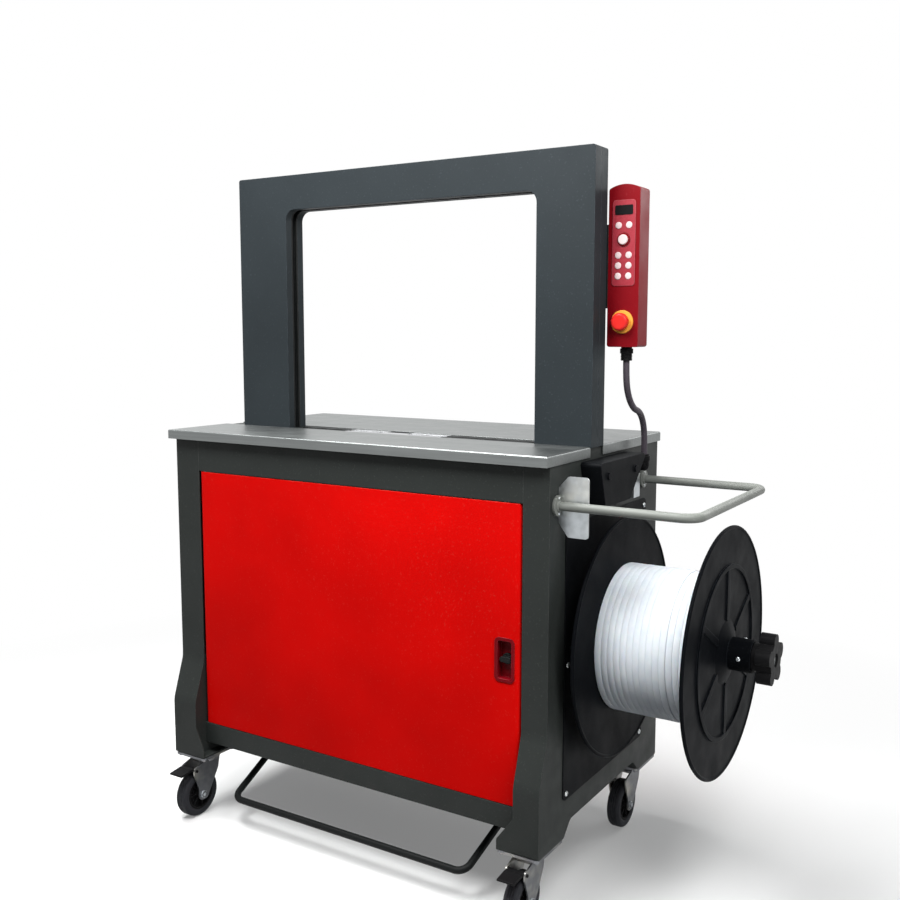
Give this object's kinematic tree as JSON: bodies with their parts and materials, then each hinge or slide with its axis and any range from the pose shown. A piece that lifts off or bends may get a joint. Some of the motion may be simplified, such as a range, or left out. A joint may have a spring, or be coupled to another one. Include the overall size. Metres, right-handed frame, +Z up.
{
  "type": "arch strapping machine",
  "caption": "Floor-standing arch strapping machine: table and strap arch over a closed body on castors, strap reel on one end, operator box beside the arch.",
  "frame": {"origin": "on the floor under the middle of the body", "axes": "+X towards the strap reel, -Y towards the operator, +Z up"},
  "size_m": [1.2243, 0.594, 1.3855],
  "materials": {
    "frame_coating": "dark olive grey powder coat",
    "end_coating": "near-black powder coat",
    "arch_coating": "anthracite powder coat",
    "red_coating": "gloss red powder coat",
    "stainless": "brushed",
    "zinc": "bright zinc plate",
    "machined": "machined",
    "rail_grey": "grey enamel",
    "black_coating": "black powder coat",
    "reel_black": "black enamel",
    "black_plastic": "moulded",
    "tyre": "dark grey tyre",
    "strap": "white strap",
    "keypad": "membrane",
    "ivory": "button",
    "yellow": "collar",
    "stop_red": "mushroom head",
    "cable_sheath": "sheath",
    "belt_rubber": "belt",
    "motor_grey": "enamelled casting"
  },
  "bodies": {
    "frame": {"arch_front_shell": "arch_coating", "arch_rear_shell": "arch_coating", "arch_strap_track": "black_coating", "base_tray": "frame_coating", "cable_glands": "black_plastic", "castor_plates": "zinc", "control_box": "red_coating", "control_bracket": "black_coating", "control_cable": "cable_sheath", "control_keypad": "keypad", "drive_belt": "belt_rubber", "electrics_box": "rail_grey", "end_frame_left": "frame_coating", "end_frame_right": "frame_coating", "end_panel_left": "end_coating", "end_panel_right": "end_coating", "feed_motor": "motor_grey", "frame_rails": "frame_coating", "guard_rail": "rail_grey", "guide_housing": "end_coating", "head_frame": "machined", "head_top_plates": "machined", "hinge_pins": "zinc", "panel_screws": "zinc", "rail_brackets": "zinc", "rear_cover": "red_coating", "reel_shaft": "zinc", "stop_base": "yellow", "table_front_plate": "stainless", "table_slot_strips": "black_coating"},
    "door": {"front_door": "red_coating", "door_latch_cup": "black_plastic"},
    "latch": {"door_latch": "zinc"},
    "table_flap": {"table_rear_plate": "stainless"},
    "reel": {"reel_hub": "reel_black", "reel_outer_flange": "reel_black", "strap_coil": "strap"},
    "hand_nut": {"reel_hand_nut": "black_plastic"},
    "guide_roller": {"guide_roller": "black_plastic"},
    "dancer": {"dancer_arm": "zinc"},
    "dancer_roller": {"dancer_roller": "black_plastic"},
    "foot_bar": {"foot_bar": "black_coating"},
    "start_button": {"start_button": "ivory"},
    "stop_button": {"stop_button": "stop_red"},
    "main_switch": {"main_switch": "black_plastic"},
    "feed_wheel": {"feed_wheel": "machined"},
    "pinch_wheel": {"pinch_wheel": "machined"},
    "cam_shaft": {"cam_shaft": "machined"},
    "motor_pulley": {"motor_pulley": "machined"},
    "anvil": {"anvil_slide": "machined"},
    "castor_front_left": {"castor_fork_front_left": "zinc"},
    "wheel_front_left": {"castor_wheel_front_left": "tyre"},
    "brake_front_left": {"castor_brake_front_left": "black_plastic"},
    "castor_front_right": {"castor_fork_front_right": "zinc"},
    "wheel_front_right": {"castor_wheel_front_right": "tyre"},
    "brake_front_right": {"castor_brake_front_right": "black_plastic"},
    "castor_rear_left": {"castor_fork_rear_left": "zinc"},
    "wheel_rear_left": {"castor_wheel_rear_left": "tyre"},
    "castor_rear_right": {"castor_fork_rear_right": "zinc"},
    "wheel_rear_right": {"castor_wheel_rear_right": "tyre"}
  },
  "joints": [
    {"name": "door_hinge", "type": "hinge", "parent": "frame", "child": "door", "pos_m": [-0.37, -0.235, 0.4875], "axis": [0, 0, -1], "range_deg": [0, 90]},
    {"name": "latch_turn", "type": "hinge", "parent": "door", "child": "latch", "pos_m": [0.362, -0.232, 0.48], "axis": [0, -1, 0], "range_deg": [0, 90]},
    {"name": "table_flap_hinge", "type": "hinge", "parent": "frame", "child": "table_flap", "pos_m": [0, 0.258, 0.84], "axis": [-1, 0, 0], "range_deg": [0, 90]},
    {"name": "reel_spin", "type": "hinge", "parent": "frame", "child": "reel", "pos_m": [0.582, 0, 0.4825], "axis": [1, 0, 0], "continuous": true},
    {"name": "hand_nut_spin", "type": "hinge", "parent": "frame", "child": "hand_nut", "pos_m": [0.75, 0, 0.4825], "axis": [1, 0, 0], "continuous": true},
    {"name": "guide_roller_spin", "type": "hinge", "parent": "frame", "child": "guide_roller", "pos_m": [0.468, 0.03, 0.8], "axis": [1, 0, 0], "continuous": true},
    {"name": "dancer_swing", "type": "hinge", "parent": "frame", "child": "dancer", "pos_m": [0.468, -0.095, 0.8], "axis": [1, 0, 0], "range_deg": [0, 25], "stiffness_Nm_per_rad": 0.6, "springref_deg": -17.19},
    {"name": "dancer_roller_spin", "type": "hinge", "parent": "dancer", "child": "dancer_roller", "pos_m": [0.468, -0.04692, 0.75192], "axis": [1, 0, 0], "continuous": true},
    {"name": "foot_bar_press", "type": "hinge", "parent": "frame", "child": "foot_bar", "pos_m": [0, -0.1, 0.126], "axis": [1, 0, 0], "range_deg": [0, 8], "stiffness_Nm_per_rad": 12, "springref_deg": -17.19},
    {"name": "start_press", "type": "slide", "parent": "frame", "child": "start_button", "axis": [0, 1, 0], "range_m": [0, 0.003], "stiffness_N_per_m": 400, "springref_m": -0.003},
    {"name": "stop_press", "type": "slide", "parent": "frame", "child": "stop_button", "axis": [0, 1, 0], "range_m": [0, 0.004]},
    {"name": "main_switch_turn", "type": "hinge", "parent": "frame", "child": "main_switch", "pos_m": [0.25, 0.25, 0.65], "axis": [0, 1, 0], "range_deg": [0, 90]},
    {"name": "feed_spin", "type": "hinge", "parent": "frame", "child": "feed_wheel", "pos_m": [0.045, -0.065, 0.745], "axis": [0, 1, 0], "continuous": true},
    {"name": "pinch_spin", "type": "hinge", "parent": "frame", "child": "pinch_wheel", "pos_m": [0.045, -0.065, 0.6867], "axis": [0, 1, 0], "continuous": true},
    {"name": "motor_spin", "type": "hinge", "parent": "frame", "child": "motor_pulley", "pos_m": [-0.04, -0.12, 0.56], "axis": [0, 1, 0], "continuous": true},
    {"name": "cam_spin", "type": "hinge", "parent": "frame", "child": "cam_shaft", "pos_m": [-0.055, -0.065, 0.725], "axis": [0, 1, 0], "continuous": true},
    {"name": "anvil_travel", "type": "slide", "parent": "frame", "child": "anvil", "axis": [0, 1, 0], "range_m": [0, 0.012]},
    {"name": "castor_swivel_front_left", "type": "hinge", "parent": "frame", "child": "castor_front_left", "pos_m": [-0.4055, -0.226, 0.12], "axis": [0, 0, 1], "continuous": true},
    {"name": "wheel_spin_front_left", "type": "hinge", "parent": "castor_front_left", "child": "wheel_front_left", "pos_m": [-0.4055, -0.258, 0.05], "axis": [1, 0, 0], "continuous": true},
    {"name": "brake_press_front_left", "type": "hinge", "parent": "castor_front_left", "child": "brake_front_left", "pos_m": [-0.4055, -0.276, 0.108], "axis": [1, 0, 0], "range_deg": [0, 12]},
    {"name": "castor_swivel_front_right", "type": "hinge", "parent": "frame", "child": "castor_front_right", "pos_m": [0.4055, -0.226, 0.12], "axis": [0, 0, 1], "continuous": true},
    {"name": "wheel_spin_front_right", "type": "hinge", "parent": "castor_front_right", "child": "wheel_front_right", "pos_m": [0.4055, -0.258, 0.05], "axis": [1, 0, 0], "continuous": true},
    {"name": "brake_press_front_right", "type": "hinge", "parent": "castor_front_right", "child": "brake_front_right", "pos_m": [0.4055, -0.276, 0.108], "axis": [1, 0, 0], "range_deg": [0, 12]},
    {"name": "castor_swivel_rear_left", "type": "hinge", "parent": "frame", "child": "castor_rear_left", "pos_m": [-0.4055, 0.226, 0.12], "axis": [0, 0, 1], "continuous": true},
    {"name": "wheel_spin_rear_left", "type": "hinge", "parent": "castor_rear_left", "child": "wheel_rear_left", "pos_m": [-0.4055, 0.194, 0.05], "axis": [1, 0, 0], "continuous": true},
    {"name": "castor_swivel_rear_right", "type": "hinge", "parent": "frame", "child": "castor_rear_right", "pos_m": [0.4055, 0.226, 0.12], "axis": [0, 0, 1], "continuous": true},
    {"name": "wheel_spin_rear_right", "type": "hinge", "parent": "castor_rear_right", "child": "wheel_rear_right", "pos_m": [0.4055, 0.194, 0.05], "axis": [1, 0, 0], "continuous": true}
  ],
  "couplings": [
    {"joint": "pinch_spin", "follows": "feed_spin", "ratio": -1.9},
    {"joint": "motor_spin", "follows": "feed_spin", "ratio": 1}
  ]
}
